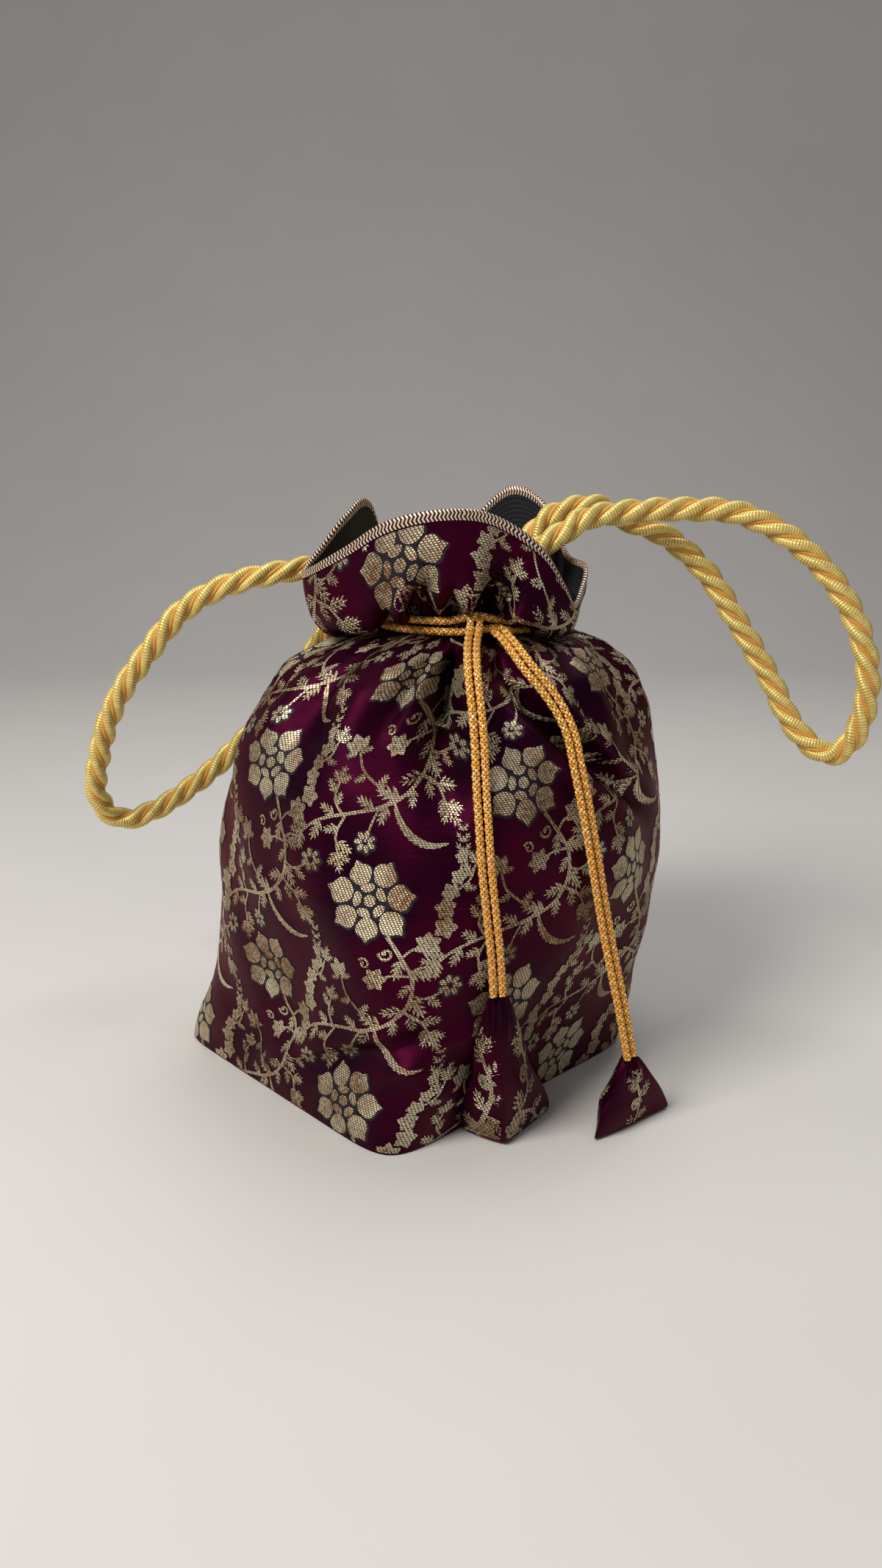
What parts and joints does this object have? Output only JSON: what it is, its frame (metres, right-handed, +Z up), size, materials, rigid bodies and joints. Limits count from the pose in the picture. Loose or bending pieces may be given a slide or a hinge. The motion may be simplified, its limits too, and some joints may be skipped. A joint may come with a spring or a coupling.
{
  "type": "potli bag",
  "caption": "Square-based drawstring pouch of figured brocade, lined, with a frilled mouth, two drawcords with tassels and two rope handles.",
  "frame": {"origin": "centre of the square base, on the surface that the bag stands on", "axes": "+Z up; -Y towards the front, where the drawcords are tied and one corner of the base points; +X to the right seen from the front"},
  "size_m": [0.3127, 0.1735, 0.217],
  "materials": {
    "brocade": "aubergine shot satin brocade with flowers and vines in pale gold thread outlined in black, gold zari border at the hem",
    "lining": "black honeycomb lining cloth",
    "drawcord": "braided cord of orange-gold metallic thread",
    "rope": "three-strand twisted rope wrapped in golden-yellow satin thread"
  },
  "bodies": {
    "root": {"brocade_body": "brocade", "brocade_base": "brocade", "lining_body": "lining", "lining_base": "lining", "drawcord_left": "drawcord", "drawcord_right": "drawcord", "tassel_left": "brocade", "tassel_right": "brocade", "handle_left": "rope", "handle_right": "rope"}
  },
  "joints": []
}
